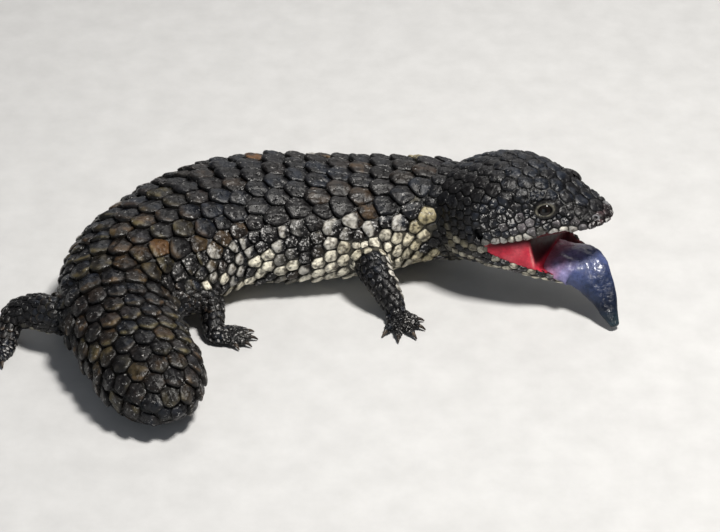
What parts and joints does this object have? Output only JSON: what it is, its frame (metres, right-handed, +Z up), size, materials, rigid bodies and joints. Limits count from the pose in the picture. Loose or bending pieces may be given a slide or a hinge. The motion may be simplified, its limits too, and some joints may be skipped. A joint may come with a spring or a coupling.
{
  "type": "shingleback skink",
  "caption": "Life-size still model of a shingleback, a blue-tongued skink, body bent, head raised, mouth open and blue tongue hanging out.",
  "frame": {"origin": "on the floor under the middle of the model's box", "axes": "+X forwards along the straight part of the trunk, towards the head; +Y to the animal's left; +Z up; the trunk bends to the animal's right, towards -Y"},
  "size_m": [0.2907, 0.2062, 0.0649],
  "materials": {
    "scaly_skin": "dry horny scales, dark brown with cream spots",
    "tongue": "wet cobalt blue",
    "mouth_lining": "wet pink red",
    "eye": "wet dark brown"
  },
  "bodies": {
    "root": {"head": "scaly_skin", "lower_jaw": "scaly_skin", "mouth_lining": "mouth_lining", "tongue": "tongue", "left_eye": "eye", "right_eye": "eye", "neck": "scaly_skin", "chest": "scaly_skin", "belly": "scaly_skin", "loins": "scaly_skin", "hips": "scaly_skin", "tail": "scaly_skin", "right_upper_arm": "scaly_skin", "right_forearm": "scaly_skin", "right_hand": "scaly_skin", "left_upper_arm": "scaly_skin", "left_forearm": "scaly_skin", "left_hand": "scaly_skin", "right_thigh": "scaly_skin", "right_shin": "scaly_skin", "right_foot": "scaly_skin", "left_thigh": "scaly_skin", "left_shin": "scaly_skin", "left_foot": "scaly_skin"}
  },
  "joints": []
}
